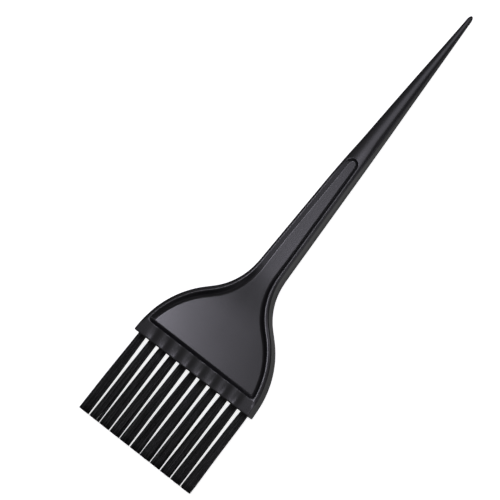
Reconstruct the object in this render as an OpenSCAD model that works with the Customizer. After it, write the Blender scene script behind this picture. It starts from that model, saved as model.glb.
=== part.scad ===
// Hair tint brush: a one-piece moulded handle with a flared head, and one row of
// bristle tufts, each folded over a short piece of flat wire and driven into a blind bore.
//
// The brush lies on the back of its head and on the tip of its tail. X is across the head, +Y
// points to the tail's tip and +Z is the front, where the long recess is. The origin is under the middle of the whole brush.

/* [Overall] */
// Length from the bristles' tips to the tail's tip
total_length = 220; // [205:1:240]
// Free length of the bristles, from the head's mouth to the trimmed tips
bristle_length = 38.4; // [30:0.2:42]
// Length of the solid tail, from its tip to the round end of the recess
tail_length = 74; // [60:1:78]

/* [Head] */
// Width of the head at its mouth
head_width = 60.4; // [58:0.2:66]
// Thickness of the head
head_thickness = 7.8; // [7.4:0.1:8.4]
// How far each side of the head leans in towards the handle, in degrees
side_angle = 4; // [2:0.5:6]
// Length of the straight side above the mouth
side_length = 4.5; // [3:0.5:6]
// Radius of the head's rounded shoulders
shoulder_radius = 39.7; // [36:0.1:41]
// Steepest slope of the flare between shoulder and neck, in degrees from the handle's line
flare_angle = 46.4; // [45:0.2:49]
// Radius of the hollow curve where the flare meets the neck
throat_radius = 26; // [22:0.5:28]

/* [Neck and tail] */
// Width of the neck where the flare begins
neck_width = 13; // [12:0.1:14]
// Thickness of the neck where the flare begins
neck_thickness = 7.2; // [6.8:0.1:7.4]
// Width of the handle at the round end of the recess
grip_width = 9.1; // [8.4:0.1:10]
// Thickness of the handle at the round end of the recess
grip_thickness = 6.2; // [5.8:0.1:6.6]
// Width of the tail just behind its rounded tip
tip_width = 2.3; // [1.6:0.1:2.6]
// Thickness of the tail just behind its rounded tip
tip_thickness = 1.6; // [1.4:0.1:2]
// How far the back rises off the table at the grip, between the head and the tail's tip
arch_rise = 1; // [0:0.1:1.2]

/* [Recess] */
// Width of the rim between the outline and the recess
rim_width = 2; // [1.6:0.1:2.4]
// Depth of the front recess in the head
front_depth = 1.9; // [1:0.1:2]
// Depth of the front recess in the neck and the grip
channel_depth = 1.1; // [0.8:0.1:1.2]
// Depth of the back recess
back_depth = 0.6; // [0.4:0.1:0.7]
// Height of the plain band between the recess and the mouth
band_height = 6.5; // [6:0.1:8]

/* [Bristles] */
// Number of tufts in the row
tuft_count = 11; // [11:1:11]
// Distance between the middles of neighbouring tufts
tuft_pitch = 5.39; // [5.2:0.01:5.4]
// Height of the row above the back of the brush
row_height = 3.2; // [3.1:0.05:3.4]
// Diameter of the blind bores
bore_diameter = 3.7; // [3.6:0.05:3.8]
// Depth of the blind bores
bore_depth = 8.4; // [8:0.1:10]
// Diameter of a tuft at its flexing root
tuft_root_diameter = 3.6; // [3.4:0.05:3.6]
// Diameter of a tuft at its trimmed tip
tuft_tip_diameter = 5; // [4.4:0.05:5]
// Distance from the mouth to the line that the tufts bend about
flex_drop = 2.2; // [2.2:0.05:2.4]

/* [Anchors] */
// Length of the flat wire, longer than the bore is wide so that its ends bite into the walls
anchor_length = 4.4; // [4.3:0.05:4.6]
// Width of the flat wire, which lies along the bore
anchor_width = 1.6; // [1.2:0.1:1.8]
// Thickness of the flat wire
anchor_thickness = 0.3; // [0.25:0.05:0.4]

/* [Hidden] */
$fn = 64;
plastic_colour = [0.06, 0.06, 0.07];
bristle_colour = [0.03, 0.03, 0.035];
steel_colour = [0.72, 0.73, 0.75];

tips_y = -total_length / 2;
tail_y = total_length / 2;
mouth_y = tips_y + bristle_length;
recess_end_y = tail_y - tail_length;
band_top_y = mouth_y + band_height;

head_run = 22;         // before the neck, where the head's full thickness begins to thin
taper_run = 58;        // over which the neck narrows to the grip
nose_length = 4;       // from the straight taper's end to the very tip of the tail
nose_round = 1.2;      // the last of it, where the outline closes
arch_end = 40;         // before the tail's tip, where the raised back begins to come down
tail_bow = 0.5;        // how full the tail's sides are between grip and tip
bevel_lead = 16;       // before the recess's end, where the tail's bevels begin
bevel_full = 5;        // after the recess's end, where they are widest
tail_bevel_size = 1.4; // the tail's long edges are cut back, so that it rolls between the fingers
tip_bevel_size = 0.4;
arc_step = 3;          // degrees between two points on an arc of the outline
fit_gap = 0.03;        // between a bundle of folded bristles and its bore
dome_extra = 0.1;      // of a tuft's round root beyond its radius
swing_gap = 0.25;      // between a tuft's round root and the hollow that it turns in
hollow_reach = 1.3;    // from the bending line to the rim of that hollow
fold_height = 1.4;     // of the bristles' fold below the anchor
overlap = 0.01;

// The half outline, as a chain from the mouth up to the tail: a straight side, the convex
// shoulder, a straight flare and the concave throat, which ends on the neck's taper.
taper_angle = atan((neck_width - grip_width) / 2 / taper_run);
shoulder_centre = [
    head_width / 2 - side_length * sin(side_angle) - shoulder_radius * cos(side_angle),
    mouth_y + side_length * cos(side_angle) - shoulder_radius * sin(side_angle)
];
flare_length = (shoulder_centre[0] + shoulder_radius * cos(flare_angle)
    - throat_radius * (cos(taper_angle) - cos(flare_angle)) - neck_width / 2)
    / sin(flare_angle);
flare_top = shoulder_centre + shoulder_radius * [cos(flare_angle), sin(flare_angle)]
    + flare_length * [-sin(flare_angle), cos(flare_angle)];
throat_centre = flare_top + throat_radius * [cos(flare_angle), sin(flare_angle)];
neck_y = throat_centre[1] - throat_radius * sin(taper_angle);

function arc_angles(first, last) =
    let (steps = ceil(abs(last - first) / arc_step))
    [for (i = [0:steps]) first + (last - first) * i / steps];

// Points [half width, y] of the outline moved inwards by inset, from mouth to tail.
function outline(inset = 0) = concat(
    [[head_width / 2 - inset * cos(side_angle), mouth_y]],
    [for (a = arc_angles(side_angle, flare_angle))
        shoulder_centre + (shoulder_radius - inset) * [cos(a), sin(a)]],
    [for (a = arc_angles(flare_angle, taper_angle))
        throat_centre - (throat_radius + inset) * [cos(a), sin(a)]],
    [[grip_width / 2 - inset, recess_end_y]]
);

// Thickness of the handle at any y.
function thickness(y) = lookup(y, [
    [mouth_y, head_thickness],
    [neck_y - head_run, head_thickness],
    [neck_y, neck_thickness],
    [recess_end_y, grip_thickness],
    [tail_y - nose_length, tip_thickness]
]);

// Height of the back at any y: flat under the head, arched, and down again at the tail's tip.
function back_z(y) = lookup(y, [
    [neck_y - head_run, 0],
    [neck_y, arch_rise * 0.6],
    [recess_end_y, arch_rise],
    [tail_y - arch_end, arch_rise],
    [tail_y - nose_length, 0]
]);

function front_z(y) = back_z(y) + thickness(y);

// Half width of the tail, which is slightly bowed outwards between the grip and the nose.
function tail_half(y) =
    let (f = (y - recess_end_y) / (tail_length - nose_length))
    grip_width / 2 + f * (tip_width - grip_width) / 2 + tail_bow * f * (1 - f);

function tail_outline() = concat(
    [for (f = [0.25:0.25:1])
        let (y = recess_end_y + f * (tail_length - nose_length))
        [tail_half(y), y]],
    [[tip_width * 0.45, tail_y - nose_round], [tip_width * 0.3, tail_y]]
);

function mirrored(edge) = concat(edge, [for (i = [len(edge) - 1:-1:0]) [-edge[i][0], edge[i][1]]]);

// Where the side view changes slope, from the mouth to the end of the recess.
recess_ys = [mouth_y, neck_y - head_run, neck_y, recess_end_y];

// Side view of the handle.
module side_profile() {
    ys = concat(recess_ys, [tail_y - arch_end, tail_y - nose_length, tail_y]);
    polygon(concat(
        [for (y = ys) [y, front_z(y)]],
        [for (i = [len(ys) - 1:-1:0]) [ys[i], back_z(ys[i])]]
    ));
}

// Extrudes a side view, drawn as [y, z], across the whole head.
module across() {
    rotate([90, 0, 90])
        translate([0, 0, -head_width / 2 - 1])
            linear_extrude(head_width + 2)
                children();
}

// Cuts off one long edge of the tail's front at 45 degrees, or of its back as seen from below.
// The cut begins at nothing beside the recess, is widest just behind it, and narrows with the tail.
module tail_bevel(front) {
    stations = [
        [recess_end_y - bevel_lead, grip_width / 2 + bevel_lead * tan(taper_angle), 0],
        [recess_end_y + bevel_full, tail_half(recess_end_y + bevel_full), tail_bevel_size],
        [tail_y - arch_end, tail_half(tail_y - arch_end), (tail_bevel_size + tip_bevel_size) / 2],
        [tail_y + 1, tip_width * 0.4, tip_bevel_size]
    ];
    sections = [for (s = stations)
        let (y = s[0], x = s[1], size = s[2], z = front ? front_z(y) : -back_z(y))
        [[x - size - 2, y, z + 2], [x + 2, y, z + 2], [x + 2, y, z - size - 2]]];
    last = len(sections) - 1;
    polyhedron(
        points = [for (s = sections) for (p = s) p],
        faces = concat(
            [[0, 1, 2]],
            [for (s = [0:last - 1]) for (i = [0:2])
                [3 * s + i, 3 * s + 3 + i, 3 * s + 3 + (i + 1) % 3, 3 * s + (i + 1) % 3]],
            [[3 * last + 2, 3 * last + 1, 3 * last]]
        )
    );
}

module moulding() {
    difference() {
        intersection() {
            translate([0, 0, -1])
                linear_extrude(head_thickness + 2)
                    polygon(mirrored(concat(outline(), tail_outline())));
            across()
                side_profile();
        }
        for (side = [0, 1])
            mirror([side, 0, 0]) {
                tail_bevel(true);
                mirror([0, 0, 1])
                    tail_bevel(false);
            }
    }
}

// Plan of the recess: parallel to the outline, square above the band, round at the tail.
module recess_plan() {
    edge = outline(rim_width);
    channel_radius = grip_width / 2 - rim_width;
    intersection() {
        polygon(mirrored(edge));
        translate([-head_width / 2, band_top_y])
            square([head_width, recess_end_y - channel_radius - band_top_y]);
    }
    translate([0, recess_end_y - channel_radius])
        circle(channel_radius);
}

// The recess's plan between the two heights of a side view, which its children draw.
module recess_space() {
    intersection() {
        translate([0, 0, -1])
            linear_extrude(head_thickness + 3)
                recess_plan();
        across()
            children();
    }
}

module front_recess() {
    depths = [front_depth, front_depth, channel_depth, channel_depth];
    top = head_thickness + 2;
    recess_space()
        polygon(concat(
            [for (i = [0:3]) [recess_ys[i], front_z(recess_ys[i]) - depths[i]]],
            [[recess_end_y, top], [mouth_y, top]]
        ));
}

module back_recess() {
    recess_space()
        polygon(concat(
            [for (y = recess_ys) [y, back_z(y) + back_depth]],
            [[recess_end_y, -1], [mouth_y, -1]]
        ));
}

function tuft_x(i) = (i - (tuft_count - 1) / 2) * tuft_pitch;

// A cylinder along Y between two heights, in the row of tufts.
module along_row(i, from_y, to_y, from_d, to_d) {
    translate([tuft_x(i), to_y, row_height])
        rotate([90, 0, 0])
            cylinder(h = to_y - from_y, d1 = to_d, d2 = from_d);
}

module flat_wire(i) {
    middle_y = mouth_y + bore_depth - fold_height - anchor_width / 2;
    translate([tuft_x(i), middle_y, row_height])
        cube([anchor_length, anchor_width, anchor_thickness], center = true);
}

module handle() {
    color(plastic_colour)
        difference() {
            moulding();
            front_recess();
            back_recess();
            for (i = [0:tuft_count - 1]) {
                along_row(i, mouth_y - 1, mouth_y + bore_depth, bore_diameter, bore_diameter);
                flat_wire(i);
            }
        }
}

module anchor(i) {
    color(steel_colour)
        flat_wire(i);
}

// The folded end of a tuft, held in its bore, with a hollow end that the free part turns in.
module tuft_root(i) {
    pivot_y = mouth_y - flex_drop;
    root_d = bore_diameter - 2 * fit_gap;
    hollow_radius = tuft_root_diameter / 2 + dome_extra + swing_gap;
    color(bristle_colour)
        difference() {
            along_row(i, pivot_y + hollow_reach, mouth_y + bore_depth - 0.1, root_d, root_d);
            flat_wire(i);
            translate([tuft_x(i), pivot_y, row_height])
                rotate([0, 90, 0])
                    cylinder(r = hollow_radius, h = bore_diameter + 1, center = true);
        }
}

// The free part of a tuft: slightly wider at its tip, and round about its bending line.
module tuft(i) {
    pivot_y = mouth_y - flex_drop;
    dome_radius = tuft_root_diameter / 2 + dome_extra;
    color(bristle_colour) {
        along_row(i, tips_y, pivot_y, tuft_tip_diameter, tuft_root_diameter);
        intersection() {
            along_row(i, pivot_y - overlap, pivot_y + flex_drop,
                tuft_root_diameter, tuft_root_diameter);
            translate([tuft_x(i), pivot_y, row_height])
                rotate([0, 90, 0])
                    cylinder(r = dome_radius, h = tuft_root_diameter + 1, center = true);
        }
    }
}

function two_digits(i) = i < 9 ? str("0", i + 1) : str(i + 1);
function names(base) = [for (i = [0:tuft_count - 1]) str(base, two_digits(i))];

handle();
for (i = [0:tuft_count - 1]) {
    anchor(i);
    tuft_root(i);
    tuft(i);
}
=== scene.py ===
"""Hair tint brush around its CAD frame: the moulded handle, eleven bristle tufts and their wire anchors.

The frame is the CAD model's: X across the head, +Y to the tail's tip, +Z out of the recessed front.
The handle and bristle sections work in millimetres; meshes, lights, camera and floor are in metres.
"""
import math
import random

import bmesh
import bpy
import numpy as np
from mathutils import Matrix, Vector


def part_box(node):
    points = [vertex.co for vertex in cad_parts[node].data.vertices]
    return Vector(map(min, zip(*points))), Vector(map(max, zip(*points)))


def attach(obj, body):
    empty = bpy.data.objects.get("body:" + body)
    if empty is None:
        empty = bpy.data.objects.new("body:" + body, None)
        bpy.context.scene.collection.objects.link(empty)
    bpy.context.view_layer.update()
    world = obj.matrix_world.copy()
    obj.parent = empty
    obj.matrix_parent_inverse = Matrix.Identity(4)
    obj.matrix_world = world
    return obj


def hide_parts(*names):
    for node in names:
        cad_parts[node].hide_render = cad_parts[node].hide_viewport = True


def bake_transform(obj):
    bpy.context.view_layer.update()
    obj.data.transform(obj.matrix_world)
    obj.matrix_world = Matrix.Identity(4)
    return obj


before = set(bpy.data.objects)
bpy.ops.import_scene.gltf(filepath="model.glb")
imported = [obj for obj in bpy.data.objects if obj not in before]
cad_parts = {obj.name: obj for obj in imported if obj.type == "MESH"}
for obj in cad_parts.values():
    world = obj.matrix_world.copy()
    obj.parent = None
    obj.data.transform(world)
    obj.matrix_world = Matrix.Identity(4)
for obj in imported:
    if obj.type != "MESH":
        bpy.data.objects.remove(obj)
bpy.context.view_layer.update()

MM = 0.001
TUFTS = [name for name in sorted(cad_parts) if name.startswith("tuft_") and "root" not in name]

# ---------------------------------------------------------------- the handle's form, in millimetres

HANDLE_LOW, HANDLE_HIGH = (corner / MM for corner in map(Vector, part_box("handle")))
MOUTH_Y, TIP_Y = HANDLE_LOW.y, HANDLE_HIGH.y
HEAD_HALF = HANDLE_HIGH.x
HEAD_THICK = HANDLE_HIGH.z

SIDE_ANGLE = math.radians(4)
SIDE_LENGTH = 4.5
SHOULDER_R = 39.7
FLARE_ANGLE = math.radians(46.4)
THROAT_R = 26.0
NECK_HALF, GRIP_HALF = 6.5, 4.55
NECK_THICK, GRIP_THICK, TIP_THICK = 7.2, 6.2, 1.6
ARCH_RISE, ARCH_END = 1.0, 40.0
HEAD_RUN = 22.0
TAIL_TIP_HALF = 1.15
TAIL_LENGTH = 74.0
NOSE_LENGTH = 4.0
GRIP_Y = TIP_Y - TAIL_LENGTH
TAPER_RUN = 58
TAPER_ANGLE = math.atan((NECK_HALF - GRIP_HALF) / TAPER_RUN)
TAIL_BOW = 0.5  # how far the tail's sides bow outwards, times 4
ARCH_AT_NECK = 0.6  # share of the back's rise that is reached at the neck
SOFT_REACH, SOFT_STEPS = 6.0, 4  # rounding of corners: reach and samples to each side


def normal(angle):
    """Unit vector at angle from X."""
    return np.array((math.cos(angle), math.sin(angle)))


SHOULDER = (
    np.array((HEAD_HALF, MOUTH_Y))
    + SIDE_LENGTH * np.array((-math.sin(SIDE_ANGLE), math.cos(SIDE_ANGLE)))
    - SHOULDER_R * normal(SIDE_ANGLE)
)
FLARE_LENGTH = (
    SHOULDER[0]
    + SHOULDER_R * math.cos(FLARE_ANGLE)
    - THROAT_R * (math.cos(TAPER_ANGLE) - math.cos(FLARE_ANGLE))
    - NECK_HALF
) / math.sin(FLARE_ANGLE)
FLARE_TOP = (
    SHOULDER
    + SHOULDER_R * normal(FLARE_ANGLE)
    + FLARE_LENGTH * np.array((-math.sin(FLARE_ANGLE), math.cos(FLARE_ANGLE)))
)
THROAT = FLARE_TOP + THROAT_R * normal(FLARE_ANGLE)
NECK_Y = THROAT[1] - THROAT_R * math.sin(TAPER_ANGLE)


def edge_x(y, inset=0.0):
    """Half width at y of the outline moved inwards by inset: side, shoulder, flare, throat, taper, tail."""
    shoulder_r, throat_r = SHOULDER_R - inset, THROAT_R + inset
    if y < SHOULDER[1] + shoulder_r * math.sin(SIDE_ANGLE):
        start = np.array((HEAD_HALF, MOUTH_Y)) @ normal(SIDE_ANGLE) - inset
        return (start - y * math.sin(SIDE_ANGLE)) / math.cos(SIDE_ANGLE)
    if y < SHOULDER[1] + shoulder_r * math.sin(FLARE_ANGLE):
        return SHOULDER[0] + math.sqrt(shoulder_r**2 - (y - SHOULDER[1]) ** 2)
    if y < THROAT[1] - throat_r * math.sin(FLARE_ANGLE):
        start = FLARE_TOP @ normal(FLARE_ANGLE) - inset
        return (start - y * math.sin(FLARE_ANGLE)) / math.cos(FLARE_ANGLE)
    if y < THROAT[1] - throat_r * math.sin(TAPER_ANGLE):
        return THROAT[0] - math.sqrt(throat_r**2 - (y - THROAT[1]) ** 2)
    if y < GRIP_Y:
        return GRIP_HALF + (GRIP_Y - y) * math.tan(TAPER_ANGLE) - inset
    f = min(1.0, (y - GRIP_Y) / (TAIL_LENGTH - NOSE_LENGTH))
    return GRIP_HALF + f * (TAIL_TIP_HALF - GRIP_HALF) + TAIL_BOW * f * (1 - f) - inset


def between(y, stations):
    """Straight-line value at y from a list of (y, value)."""
    ys, values = zip(*stations)
    return float(np.interp(y, ys, values))


def ease(y, start, end):
    """0 before start, 1 after end, smooth in between."""
    t = min(1.0, max(0.0, (y - start) / (end - start)))
    return t * t * (3 - 2 * t)


def softened(stations, y):
    """between(), with its corners rounded over SOFT_REACH on both sides."""
    steps = range(-SOFT_STEPS, SOFT_STEPS + 1)
    return sum(between(y + SOFT_REACH * k / SOFT_STEPS, stations) for k in steps) / len(steps)


def thickness(y):
    return softened(
        (
            (MOUTH_Y, HEAD_THICK),
            (NECK_Y - HEAD_RUN, HEAD_THICK),
            (NECK_Y, NECK_THICK),
            (GRIP_Y, GRIP_THICK),
            (TIP_Y - NOSE_LENGTH, TIP_THICK),
        ),
        y,
    )


def back_line(y):
    """Height of the back: flat under the head, arched between head and tail tip."""
    return softened(
        (
            (NECK_Y - HEAD_RUN, 0.0),
            (NECK_Y, ARCH_RISE * ARCH_AT_NECK),
            (GRIP_Y, ARCH_RISE),
            (TIP_Y - ARCH_END, ARCH_RISE),
            (TIP_Y - NOSE_LENGTH, 0.0),
        ),
        y,
    )


# The recess: how far its ridge lies inside the outline, and how wide and deep its wall is.
RIDGE_HEAD, RIDGE_NECK = 1.75, 1.6
WALL_HEAD, WALL_FLARE, WALL_NECK = 2.2, 2.7, 1.7
BOTTOM_Y = MOUTH_Y + 6.15
BOTTOM_WALL, END_WALL = 1.9, 1.2
FRONT_DEEP, FRONT_SHALLOW = 1.75, 1.05
BACK_DEEP = 0.6
CHANNEL_HALF = GRIP_HALF - RIDGE_NECK
END_Y = GRIP_Y - CHANNEL_HALF
RIDGE_SOFT, FOOT_SOFT = 0.12, 0.55

# Where along Y one form passes into the next.
RIDGE_BLEND = (NECK_Y - 26, NECK_Y + 6)
DEPTH_BLEND = (NECK_Y - 20, NECK_Y + 16)
SAG_BLEND = (BOTTOM_Y + 20, NECK_Y)
BULGE_BLEND = (NECK_Y - 14, NECK_Y + 4)
RIM_BLEND = (BOTTOM_Y - 3, BOTTOM_Y + 2)
CROWN_BLEND = (END_Y - 10, END_Y + 6)
TAIL_BLEND = (END_Y, END_Y + 14)
WALL_STATIONS = ((BOTTOM_Y + 4, WALL_HEAD), (NECK_Y - 15, WALL_FLARE), (NECK_Y + 8, WALL_NECK))


def ridge_inset(y):
    return RIDGE_HEAD + (RIDGE_NECK - RIDGE_HEAD) * ease(y, *RIDGE_BLEND)


def wall_width(y):
    return softened(WALL_STATIONS, y)


def wall_share(q):
    """Depth share at q of the wall's width: a rounded ridge, a straight wall and a hollow foot."""
    q = max(0.0, min(1.0, q))
    slope = 1 / (1 - RIDGE_SOFT / 2 - FOOT_SOFT / 2)
    if q < RIDGE_SOFT:
        return slope * q * q / (2 * RIDGE_SOFT)
    if q > 1 - FOOT_SOFT:
        return 1 - slope * (1 - q) ** 2 / (2 * FOOT_SOFT)
    return slope * (q - RIDGE_SOFT / 2)


def recess_share(x, y, inset):
    """0 outside the recess, 1 on its floor. inset is the point's distance inside the outline."""
    if y <= END_Y:
        side = (inset - ridge_inset(y)) / wall_width(y)
        bottom = (y - BOTTOM_Y) / BOTTOM_WALL
        away = math.hypot(1 - min(1.0, side), 1 - min(1.0, bottom))
        return wall_share(1 - away)
    reach = math.hypot(x, y - END_Y)
    along = ((y - END_Y) / reach) ** 2
    width = WALL_NECK + (END_WALL - WALL_NECK) * along
    return wall_share((CHANNEL_HALF - reach) / width)


DIMPLE_COUNT, DIMPLE_PITCH = 8, 6.26
DIMPLES = [(i - (DIMPLE_COUNT - 1) / 2) * DIMPLE_PITCH for i in range(DIMPLE_COUNT)]
DIMPLE_END_Y = NECK_Y - 30
DIMPLE_Y = MOUTH_Y + 3.1
DIMPLE_DEEP = 0.28
DIMPLE_WIDE, DIMPLE_TALL = 1.6, 4.5
BAND_LEAN = 0.4  # how much lower the band's face is at the mouth than at its ridge
MOUTH_ROUND = 0.5


def band_drop(y):
    """Lowering of the band's face towards the mouth."""
    return BAND_LEAN * max(0.0, (BOTTOM_Y - y) / (BOTTOM_Y - MOUTH_Y))


def sink_marks(x, y):
    """Lowering of the band's face by a row of soft sink marks."""
    return DIMPLE_DEEP * sum(
        math.exp(-(((x - centre) / DIMPLE_WIDE) ** 2) - ((y - DIMPLE_Y) / DIMPLE_TALL) ** 2)
        for centre in DIMPLES
    )


EDGE_ROUND = 0.55
RIM_SLOPE = 0.3
CREST = 0.42  # width of the ridge's level crest
TAIL_ROUND_WIDE, TAIL_ROUND_DEEP = 0.5, 0.28  # shares of the tail's half width and of its thickness


def rim_drop(y, inset):
    """How far the rim's face lies below the ridge: it slopes outwards and ends in a rounded edge."""
    ridge = ridge_inset(y)
    slope = RIM_SLOPE * max(0.0, ridge - CREST - inset) * ease(y, *RIM_BLEND)
    tail = ease(y, *TAIL_BLEND)
    width = EDGE_ROUND + (edge_x(y) * TAIL_ROUND_WIDE - EDGE_ROUND) * tail
    depth = EDGE_ROUND + (thickness(y) * TAIL_ROUND_DEEP - EDGE_ROUND) * tail
    return slope * (1 - tail) + depth * quarter(inset / width)


FLOOR_SAG, FLOOR_BOW = 1.0, 0.45  # dish of the recess floor across X and along Y
SAG_MIDDLE = 0.5  # the sag's share at the middle line
BOW_SCALE = 27 / 4  # brings the peak of t * (1 - t) ** 2 to 1
CROWN = 0.65
CROWN_FULL_HALF = 3.0  # half width down to which the crown keeps its full height


def crown(y):
    """How much the front falls from its middle to its edges."""
    return CROWN * ease(y, *CROWN_BLEND) * min(1.0, edge_x(y) / CROWN_FULL_HALF)


def quarter(share):
    """Drop share of a rounded edge, from 1 at the outside (share 0) to 0 at share 1."""
    t = 1 - min(1.0, max(0.0, share))
    return 1 - math.sqrt(max(0.0, 1 - t * t))


def front_z(x, y, inset):
    """Height of the front face."""
    share = recess_share(x, y, inset)
    bend = crown(y) * (1 - share)
    z = back_line(y) + thickness(y) - bend * (x / edge_x(y)) ** 2 - rim_drop(y, inset)
    deep = FRONT_DEEP + (FRONT_SHALLOW - FRONT_DEEP) * ease(y, *DEPTH_BLEND)
    t = min(1.0, max(0.0, (y - BOTTOM_Y) / (NECK_Y - BOTTOM_Y)))
    deep += BOW_SCALE * FLOOR_BOW * t * (1 - t) ** 2
    deep += FLOOR_SAG * (SAG_MIDDLE - (x / HEAD_HALF) ** 2) * (1 - ease(y, *SAG_BLEND))
    marks = sink_marks(x, y) * (1 - share) if y < DIMPLE_END_Y else 0.0
    return z - deep * share - band_drop(y) - marks


BACK_EDGE, BACK_EDGE_STRETCH = 0.7, 1.2
BACK_WIDE_LIMIT, BACK_DEEP_LIMIT = 0.5, 0.4  # shares of the half width and of the thickness


def back_z(x, y, inset):
    """Height of the back face."""
    width = min(BACK_EDGE * BACK_EDGE_STRETCH, edge_x(y) * BACK_WIDE_LIMIT)
    drop = min(BACK_EDGE, thickness(y) * BACK_DEEP_LIMIT)
    return back_line(y) + drop * quarter(inset / width) + BACK_DEEP * recess_share(x, y, inset)


def spaced(start, end, step):
    """Even places from start to just before end, about step apart."""
    return list(np.linspace(start, end, max(2, int(round((end - start) / step)) + 1))[:-1])


# Rows of the moulding from mouth to tip: close together where the form turns quickly.
MOUTH_STEP, BAND_STEP, WALL_STEP, HEAD_STEP = 0.07, 0.3, 0.12, 0.65
GRIP_STEP, END_STEP, TAIL_STEP = 1.2, 0.14, 1.4
WALL_TOP_Y, WALL_FOOT_Y = BOTTOM_Y - 0.3, BOTTOM_Y + BOTTOM_WALL + 0.4
END_MARGIN = 1
NOSE_TURN = 9
ROWS = (
    spaced(MOUTH_Y, MOUTH_Y + MOUTH_ROUND, MOUTH_STEP)
    + spaced(MOUTH_Y + MOUTH_ROUND, WALL_TOP_Y, BAND_STEP)
    + spaced(WALL_TOP_Y, WALL_FOOT_Y, WALL_STEP)
    + spaced(WALL_FOOT_Y, NECK_Y, HEAD_STEP)
    + spaced(NECK_Y, END_Y - END_MARGIN, GRIP_STEP)
    + spaced(END_Y - END_MARGIN, GRIP_Y + END_MARGIN, END_STEP)
    + spaced(GRIP_Y + END_MARGIN, TIP_Y - NOSE_LENGTH, TAIL_STEP)
    + [TIP_Y - NOSE_LENGTH * (1 - math.sin(math.radians(a))) for a in range(0, 90, NOSE_TURN)]
)

# Columns of one half, as shares of the rounded edge, the rim and the wall.
EDGE_SHARES = (0.0, 0.02, 0.07, 0.15, 0.27, 0.42, 0.6, 0.8, 1.0)
RIM_SHARES = (0.3, 0.6, 0.7, 0.86)
WALL_SHARES = (0.0, 0.04, 0.08, 0.13, 0.22, 0.33, 0.44, 0.52, 0.6, 0.68, 0.76, 0.84, 0.92, 1.0)
FOOT_MARGIN = 0.07
FOOT_LIMIT = 0.8  # share of the half width that edge, rim and wall may take up
FRONT_COLUMNS, BACK_COLUMNS = 40, 12


def columns(y, middle_steps):
    """(x, inset) from the right edge to the middle line: over the edge, down the wall, across the floor."""
    ridge = ridge_inset(y)
    wall = wall_width(y)
    insets = [EDGE_ROUND * share for share in EDGE_SHARES]
    insets += [EDGE_ROUND + (ridge - EDGE_ROUND) * share for share in RIM_SHARES]
    insets += [ridge + wall * share for share in WALL_SHARES]
    insets.append(ridge + wall + FOOT_MARGIN)
    foot = insets[-1]
    half = edge_x(y)
    if foot > half * FOOT_LIMIT:
        insets = [inset * half * FOOT_LIMIT / foot for inset in insets]
        foot = half * FOOT_LIMIT
    points = [(edge_x(y, inset), inset) for inset in insets[:-1]]
    start = edge_x(y, foot)
    slant = (half - start) / foot
    for i in range(middle_steps + 1):
        x = start * (1 - i / middle_steps)
        points.append((x, foot + (start - x) / slant))
    return points


def mirrored(right):
    """The whole width from its right half, which ends on the middle line."""
    return right + [(-x, inset) for x, inset in right[-2::-1]]


SIDE_STEPS = (0.06, 0.14, 0.24, 0.36, 0.48, 0.6, 0.66, 0.69, 0.71, 0.74, 0.82, 0.92)
PARTING_BEAD, PARTING_FROM, PARTING_TO = 0.05, 0.68, 0.72
SIDE_DRAFT, SIDE_BULGE, BULGE_END = 0.04, 0.3, 0.62


def section(y):
    """One closed loop of points at y: front from right to left, left side, back, right side."""
    near = max(0.0, MOUTH_ROUND - (y - MOUTH_Y))
    shrink = MOUTH_ROUND - math.sqrt(MOUTH_ROUND**2 - near**2)
    nose = max(0.0, (y - TIP_Y + NOSE_LENGTH) / NOSE_LENGTH)
    scale = math.sqrt(max(0.0, 1 - nose**3))
    half, middle = edge_x(y), back_line(y) + thickness(y) / 2
    ridge = ridge_inset(y)
    bulge = SIDE_BULGE * ease(y, *BULGE_BLEND) * min(1.0, half / GRIP_HALF)
    front = []
    for x, inset in mirrored(columns(y, FRONT_COLUMNS)):
        drawn_in = (SIDE_DRAFT + bulge) / half * max(0.0, 1 - inset / ridge)
        front.append((x * (1 - drawn_in), front_z(x, y, inset) - shrink))
    back = [(x, back_z(x, y, inset) + shrink) for x, inset in mirrored(columns(y, BACK_COLUMNS))][::-1]
    top, bottom = front[-1][1], back[0][1]
    side = []
    for t in SIDE_STEPS:
        bead = PARTING_BEAD if PARTING_FROM < t < PARTING_TO else 0.0
        above = max(0.0, 1 - t / BULGE_END)
        x = half - SIDE_DRAFT * abs(t - 0.5) * 2 - bulge * above**2 + bead
        side.append((x, top + (bottom - top) * t))
    loop = front + [(-x, z) for x, z in side] + back + side[::-1]
    pull = 1 - shrink / half
    return [(x * pull * scale, y, middle + (z - middle) * scale) for x, z in loop]


def mesh_object(name, vertices, faces):
    """A smooth-shaded object in the scene, from vertices in millimetres."""
    mesh = bpy.data.meshes.new(name)
    mesh.from_pydata([tuple(c * MM for c in v) for v in vertices], [], faces)
    mesh.validate()
    obj = bpy.data.objects.new(name, mesh)
    bpy.context.scene.collection.objects.link(obj)
    mesh.shade_smooth()
    return obj


BORE_R, BORE_DEEP = 1.85, 8.4
BORE_CHAMFER = 0.15
BORE_STEPS = 40


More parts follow.
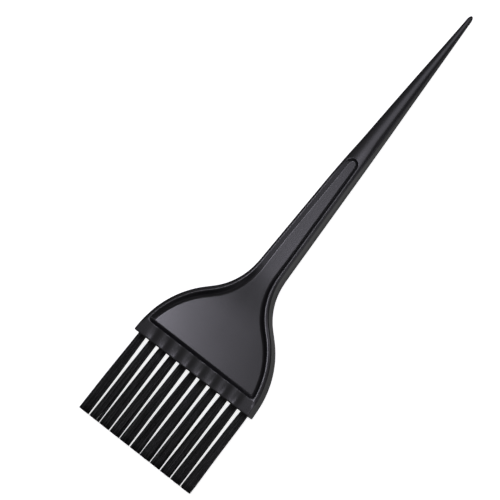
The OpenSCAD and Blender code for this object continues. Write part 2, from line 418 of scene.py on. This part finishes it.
def add_mouth(bm, rim, centres):
    """Closes the head's flat end around the bores, and sinks each bore with a small chamfer."""
    loops = []
    edges = [bm.edges.get((a, b)) for a, b in zip(rim, rim[1:] + rim[:1])]
    turn = [2 * math.pi * i / BORE_STEPS for i in range(BORE_STEPS)]
    for x, z in centres:
        ring = []
        for r, y in (
            (BORE_R + BORE_CHAMFER, MOUTH_Y),
            (BORE_R, MOUTH_Y + BORE_CHAMFER),
            (BORE_R, MOUTH_Y + BORE_DEEP),
        ):
            ring.append([
                bm.verts.new((x * MM + r * MM * math.cos(a), y * MM, z * MM + r * MM * math.sin(a)))
                for a in turn
            ])
        edges += [bm.edges.new((a, b)) for a, b in zip(ring[0], ring[0][1:] + ring[0][:1])]
        loops.append(ring)
    bmesh.ops.triangle_fill(bm, use_beauty=True, use_dissolve=False, edges=edges)
    for ring in loops:
        for outer, inner in zip(ring, ring[1:]):
            for i in range(BORE_STEPS):
                j = (i + 1) % BORE_STEPS
                bm.faces.new((outer[i], outer[j], inner[j], inner[i])).smooth = True
        bm.faces.new(ring[-1])


def make_handle():
    """The moulding: one skin through all sections, closed at the tip and around the bores."""
    loops = [section(y) for y in ROWS]
    n = len(loops[0])
    tip = (0.0, TIP_Y, TIP_THICK * 0.5)
    vertices = [p for loop in loops for p in loop] + [tip]
    faces = [
        (r * n + i, r * n + (i + 1) % n, (r + 1) * n + (i + 1) % n, (r + 1) * n + i)
        for r in range(len(loops) - 1)
        for i in range(n)
    ]
    last = (len(loops) - 1) * n
    faces += [(last + i, last + (i + 1) % n, len(vertices) - 1) for i in range(n)]
    obj = mesh_object("handle_moulding", vertices, faces)
    bm = bmesh.new()
    bm.from_mesh(obj.data)
    bm.verts.ensure_lookup_table()
    centres = []
    for name in TUFTS:
        low, high = map(Vector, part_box(name))
        centres.append(((low.x + high.x) / 2 / MM, (low.z + high.z) / 2 / MM))
    add_mouth(bm, [bm.verts[i] for i in range(n)], centres)
    bmesh.ops.recalc_face_normals(bm, faces=bm.faces)
    bm.to_mesh(obj.data)
    bm.free()
    return obj


# ---------------------------------------------------------------- bristles

FILAMENTS = 180
FILAMENT_R = 0.12
FILAMENT_SIDES = 5
FILAMENT_RINGS = 10
ROOT_R, SPREAD_R = 1.84, 2.52
TIP_JITTER = 0.12
TIP_THINNING = 0.8
ROOT_INSIDE = 1.2  # how far inside the bore a filament starts
SPREAD_POWER = 0.8
OVERHANG = 0.3  # how far, in filament radii, a filament's middle may stray past its cone
SEAT_TURN, SEAT_SHIFT = 0.25, 0.035
SWIRL, BOW, WANDER = 0.05, 0.07, 0.03  # spreads of a filament's twist, curve and ripple
RIPPLES = 2.6
RADIUS_RANGE = (0.92, 1.06)
TONE_TURN = 6  # radians by which a filament of tone 1 is turned about itself
FIRST_SEED = 100


def filament_seats(rng):
    """Evenly scattered seats in a unit disc, by the golden angle, slightly shuffled."""
    golden = math.pi * (3 - math.sqrt(5))
    seats = []
    for i in range(FILAMENTS):
        r = math.sqrt((i + 0.5) / FILAMENTS)
        a = i * golden + rng.uniform(-SEAT_TURN, SEAT_TURN)
        r = min(1.0, max(0.0, r + rng.uniform(-SEAT_SHIFT, SEAT_SHIFT)))
        seats.append((r * math.cos(a), r * math.sin(a)))
    return seats


def filament_faces(base):
    """Sides and both ends of the filament whose first vertex is base."""
    sides = FILAMENT_SIDES
    faces = []
    for k in range(FILAMENT_RINGS):
        for s in range(sides):
            a, b = base + k * sides + s, base + k * sides + (s + 1) % sides
            faces.append((b, a, a + sides, b + sides))
    top = base + FILAMENT_RINGS * sides
    faces.append(tuple(top + s for s in range(sides)))
    faces.append(tuple(base + sides - 1 - s for s in range(sides)))
    return faces


def make_tuft(node, seed):
    """A tuft of single filaments from just inside the bore to the node's end, with a tone for each."""
    rng = random.Random(seed)
    low, high = (corner / MM for corner in map(Vector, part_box(node)))
    cx, cz, end_y = (low.x + high.x) / 2, (low.z + high.z) / 2, low.y
    start_y = MOUTH_Y + ROOT_INSIDE
    vertices, faces, tones = [], [], []
    for u, v in filament_seats(rng):
        swirl = rng.gauss(0, SWIRL)
        bow = (rng.gauss(0, BOW), rng.gauss(0, BOW))
        wander = (rng.gauss(0, WANDER), rng.gauss(0, WANDER))
        length = (start_y - end_y) - abs(rng.gauss(0, TIP_JITTER))
        radius = FILAMENT_R * rng.uniform(*RADIUS_RANGE)
        tone = rng.random()
        faces += filament_faces(len(vertices))
        for k in range(FILAMENT_RINGS + 1):
            t = k / FILAMENT_RINGS
            spread = ROOT_R - FILAMENT_R + (SPREAD_R - ROOT_R) * t**SPREAD_POWER
            turn = swirl * t
            fx = u * math.cos(turn) - v * math.sin(turn)
            fz = u * math.sin(turn) + v * math.cos(turn)
            lift = math.sin(math.pi * t)
            ripple = math.sin(RIPPLES * math.pi * t)
            x = cx + spread * fx + bow[0] * lift + wander[0] * ripple
            z = cz + spread * fz + bow[1] * lift + wander[1] * ripple
            reach = math.hypot(x - cx, z - cz)
            limit = spread + FILAMENT_R * OVERHANG
            if reach > limit:
                x, z = cx + (x - cx) * limit / reach, cz + (z - cz) * limit / reach
            y = start_y - length * t
            thin = radius * (TIP_THINNING if k == FILAMENT_RINGS else 1.0)
            for s in range(FILAMENT_SIDES):
                a = 2 * math.pi * s / FILAMENT_SIDES + tone * TONE_TURN
                vertices.append((x + thin * math.cos(a), y, z + thin * math.sin(a)))
                tones.append(tone)
    obj = mesh_object("bristle_" + node, vertices, faces)
    attribute = obj.data.attributes.new("tone", "FLOAT", "POINT")
    attribute.data.foreach_set("value", np.array(tones, np.float32))
    return obj


# ---------------------------------------------------------------- materials

NOISE_LOW, NOISE_HIGH = 0.3, 0.7  # most of a noise's values lie between these


def new_material(name):
    """(material, its nodes, its links, its shader)"""
    material = bpy.data.materials.new(name)
    material.use_nodes = True
    nodes = material.node_tree.nodes
    return material, nodes, material.node_tree.links, nodes["Principled BSDF"]


def noise(nodes, links, coordinates, scale, detail, stretch=(1, 1, 1)):
    """A noise texture over object coordinates. scale is in features per metre."""
    mapping = nodes.new("ShaderNodeMapping")
    mapping.inputs["Scale"].default_value = stretch
    texture = nodes.new("ShaderNodeTexNoise")
    texture.inputs["Scale"].default_value = scale
    texture.inputs["Detail"].default_value = detail
    links.new(coordinates.outputs["Object"], mapping.inputs["Vector"])
    links.new(mapping.outputs["Vector"], texture.inputs["Vector"])
    return texture.outputs["Fac"]


def map_range(nodes, links, value, low, high):
    """Carries NOISE_LOW..NOISE_HIGH of a value onto low..high."""
    node = nodes.new("ShaderNodeMapRange")
    node.inputs["From Min"].default_value = NOISE_LOW
    node.inputs["From Max"].default_value = NOISE_HIGH
    node.inputs["To Min"].default_value = low
    node.inputs["To Max"].default_value = high
    links.new(value, node.inputs["Value"])
    return node.outputs["Result"]


def ramp(nodes, links, value, colours):
    """Blends from the first colour to the second over NOISE_LOW..NOISE_HIGH of a value."""
    node = nodes.new("ShaderNodeValToRGB")
    node.color_ramp.elements[0].color = (*colours[0], 1)
    node.color_ramp.elements[1].color = (*colours[1], 1)
    node.color_ramp.elements[0].position = NOISE_LOW
    node.color_ramp.elements[1].position = NOISE_HIGH
    links.new(value, node.inputs["Fac"])
    return node.outputs["Color"]


def bump(nodes, links, shader, height, strength, distance):
    """A bump from a height value. distance is in metres."""
    node = nodes.new("ShaderNodeBump")
    node.inputs["Strength"].default_value = strength
    node.inputs["Distance"].default_value = distance
    links.new(height, node.inputs["Height"])
    links.new(node.outputs["Normal"], shader.inputs["Normal"])


def plastic_material():
    material, nodes, links, shader = new_material("moulded_black_plastic")
    where = nodes.new("ShaderNodeTexCoord")
    cloud = noise(nodes, links, where, scale=45, detail=4)
    grain = noise(nodes, links, where, scale=1400, detail=2)
    smear = noise(nodes, links, where, scale=120, detail=2, stretch=(1.0, 0.25, 1.0))
    links.new(
        ramp(nodes, links, cloud, ((0.0045, 0.0042, 0.0056), (0.0065, 0.0061, 0.0078))),
        shader.inputs["Base Color"],
    )
    links.new(map_range(nodes, links, smear, 0.24, 0.27), shader.inputs["Roughness"])
    shader.inputs["Specular IOR Level"].default_value = 0.55
    bump(nodes, links, shader, grain, strength=0.02, distance=0.00002)
    return material


def nylon_material():
    material, nodes, links, shader = new_material("black_nylon_filament")
    where = nodes.new("ShaderNodeTexCoord")
    tone = nodes.new("ShaderNodeAttribute")
    tone.attribute_name = "tone"
    links.new(
        ramp(nodes, links, tone.outputs["Fac"], ((0.001, 0.001, 0.001), (0.02, 0.02, 0.0195))),
        shader.inputs["Base Color"],
    )
    along = noise(nodes, links, where, scale=900, detail=3, stretch=(1.0, 0.2, 1.0))
    links.new(map_range(nodes, links, along, 0.36, 0.5), shader.inputs["Roughness"])
    shader.inputs["Specular IOR Level"].default_value = 0.42
    bump(nodes, links, shader, along, strength=0.08, distance=0.00004)
    return material


def wire_material():
    material, nodes, links, shader = new_material("flat_steel_wire")
    where = nodes.new("ShaderNodeTexCoord")
    drawn = noise(nodes, links, where, scale=3000, detail=2, stretch=(0.1, 1.0, 1.0))
    links.new(
        ramp(nodes, links, drawn, ((0.5, 0.5, 0.51), (0.68, 0.68, 0.69))), shader.inputs["Base Color"]
    )
    shader.inputs["Metallic"].default_value = 1.0
    links.new(map_range(nodes, links, drawn, 0.22, 0.4), shader.inputs["Roughness"])
    bump(nodes, links, shader, drawn, strength=0.1, distance=0.00002)
    return material


def stage_material():
    """A pale sheet that is bright mostly by its own light."""
    material, nodes, links, shader = new_material("pale_sheet")
    where = nodes.new("ShaderNodeTexCoord")
    cloud = noise(nodes, links, where, scale=6, detail=3)
    links.new(
        ramp(nodes, links, cloud, ((0.88, 0.88, 0.88), (0.9, 0.9, 0.9))), shader.inputs["Base Color"]
    )
    shader.inputs["Roughness"].default_value = 0.8
    shader.inputs["Specular IOR Level"].default_value = 0.0
    shader.inputs["Emission Color"].default_value = (1, 1, 1, 1)
    shader.inputs["Emission Strength"].default_value = 0.86
    return material


# ---------------------------------------------------------------- pieces

plastic = plastic_material()
nylon = nylon_material()
wire = wire_material()

handle = make_handle()
handle.data.materials.append(plastic)
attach(handle, "handle_body")
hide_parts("handle")

for index, node in enumerate(TUFTS):
    number = node.split("_")[1]
    tuft = make_tuft(node, FIRST_SEED + index)
    tuft.data.materials.append(nylon)
    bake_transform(tuft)
    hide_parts(node, "tuft_root_" + number)
    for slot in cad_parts["anchor_" + number].material_slots:
        slot.material = wire

# ---------------------------------------------------------------- stage, light and camera

TILT_X, TILT_Y = math.radians(18), math.radians(-1)
ROLL = math.radians(37.73)
LENS = 400
SENSOR = 36
FRAME_WIDTH = 0.1998
SLIDE_RIGHT, SLIDE_UP = 0.02134, 0.00672
BRUSH_MIDDLE = Vector((0, 0, 0.002))
COOL = (0.985, 0.956, 1.106)


def make_camera():
    """A long lens at the photo's angle: the brush is tilted, rolled and slid to its place in the frame."""
    data = bpy.data.cameras.new("camera")
    data.lens, data.sensor_width = LENS, SENSOR
    camera = bpy.data.objects.new("camera", data)
    bpy.context.scene.collection.objects.link(camera)
    out = Vector((math.tan(TILT_X), math.tan(TILT_Y), 1)).normalized()
    brush_up = (Vector((0, 1, 0)) - out * out.y).normalized()
    brush_right = brush_up.cross(out)
    up = brush_up * math.cos(ROLL) - brush_right * math.sin(ROLL)
    right = up.cross(out)
    target = BRUSH_MIDDLE - right * SLIDE_RIGHT - up * SLIDE_UP
    distance = FRAME_WIDTH / SENSOR * LENS
    turn = Matrix((right, up, out)).transposed().to_4x4()
    camera.matrix_world = Matrix.Translation(target + out * distance) @ turn
    bpy.context.scene.camera = camera


def soft_box(name, toward, distance, size, power):
    """A rectangular area light in the direction toward, looking at the frame's origin."""
    data = bpy.data.lights.new(name, "AREA")
    data.shape = "RECTANGLE"
    data.size, data.size_y = size
    data.energy = power
    data.color = COOL
    light = bpy.data.objects.new(name, data)
    bpy.context.scene.collection.objects.link(light)
    toward = Vector(toward).normalized()
    light.location = toward * distance
    light.rotation_mode = "QUATERNION"
    light.rotation_quaternion = toward.to_track_quat("Z", "Y")
    light.visible_camera = False


LIGHTS = (
    # name, direction from the origin, distance, (width, height), watts
    ("overhead", (-0.12, 0.2, 1.0), 1.5, (0.56, 0.8), 2.0),
    ("key", (-0.095, -0.013, 0.6), 0.61, (0.12, 0.06), 0.46),
    ("far_left", (-0.64, 0.64, 0.42), 1.5, (1.0, 0.5), 1.6),
    ("near_right", (0.68, -0.68, 0.2), 1.5, (0.8, 0.25), 0.2),
    ("side", (1.0, 0.0, -0.09), 1.5, (1.6, 0.25), 1.3),
    ("mouth_side", (0.0, -1.0, -0.06), 1.5, (1.2, 0.25), 0.7),
    ("tail_side", (0.14, 0.5, 0.87), 1.5, (0.36, 0.26), 0.8),
    ("rim", (0.8, 0.0, 0.47), 1.5, (0.24, 2.2), 2.0),
)
SKY = (
    # height of the direction (its Z), brightness
    (-1.0, 0.04),
    (-0.96, 0.12),
    (-0.84, 0.6),
    (-0.66, 0.55),
    (-0.45, 0.15),
    (-0.1, 0.07),
    (0.2, 0.12),
    (0.4, 0.1),
    (0.7, 0.22),
    (1.0, 0.28),
)


FLOOR_R, SWEEP_R, WALL_TOP = 2.6, 0.6, 2.4
FLOOR_TURNS = 96
SWEEP_ANGLES = (0.3, 0.6, 0.9, 1.2, math.pi / 2)


def make_floor():
    """A round pale floor at the height of the brush's back, which sweeps up into a wall.

    It casts nothing on the brush. Tufts bent to the back pass through it.
    """
    turns, profile = FLOOR_TURNS, [(FLOOR_R, 0.0)]
    for a in SWEEP_ANGLES:
        profile.append((FLOOR_R + SWEEP_R * math.sin(a), SWEEP_R - SWEEP_R * math.cos(a)))
    profile.append((FLOOR_R + SWEEP_R, WALL_TOP))
    vertices = [(0.0, 0.0, 0.0)]
    for r, z in profile:
        vertices += [
            (r * math.cos(2 * math.pi * i / turns), r * math.sin(2 * math.pi * i / turns), z)
            for i in range(turns)
        ]
    faces = [(0, 1 + i, 1 + (i + 1) % turns) for i in range(turns)]
    for ring in range(len(profile) - 1):
        base = 1 + ring * turns
        for i in range(turns):
            j = (i + 1) % turns
            faces.append((base + i, base + turns + i, base + turns + j, base + j))
    mesh = bpy.data.meshes.new("floor")
    mesh.from_pydata(vertices, [], faces)
    mesh.shade_smooth()
    floor = bpy.data.objects.new("floor", mesh)
    bpy.context.scene.collection.objects.link(floor)
    floor.data.materials.append(stage_material())
    floor.visible_glossy = False
    floor.visible_diffuse = False
    floor.visible_shadow = False


def make_studio():
    """A plain surround whose brightness changes with height only."""
    world = bpy.data.worlds.new("studio")
    bpy.context.scene.world = world
    world.use_nodes = True
    nodes, links = world.node_tree.nodes, world.node_tree.links
    where = nodes.new("ShaderNodeTexCoord")
    split = nodes.new("ShaderNodeSeparateXYZ")
    share = nodes.new("ShaderNodeMapRange")
    share.inputs["From Min"].default_value = -1
    links.new(where.outputs["Generated"], split.inputs["Vector"])
    links.new(split.outputs["Z"], share.inputs["Value"])
    band = nodes.new("ShaderNodeValToRGB")
    links.new(share.outputs["Result"], band.inputs["Fac"])
    stops = band.color_ramp.elements
    while len(stops) < len(SKY):
        stops.new(0.5)
    for stop, (height, bright) in zip(stops, SKY):
        stop.position = (height + 1) / 2
        stop.color = (bright, bright, bright, 1)
    links.new(band.outputs["Color"], nodes["Background"].inputs["Color"])
    nodes["Background"].inputs["Strength"].default_value = 1.0


bpy.context.scene.view_settings.view_transform = "Standard"
make_camera()
make_floor()
make_studio()
for light in LIGHTS:
    soft_box(*light)
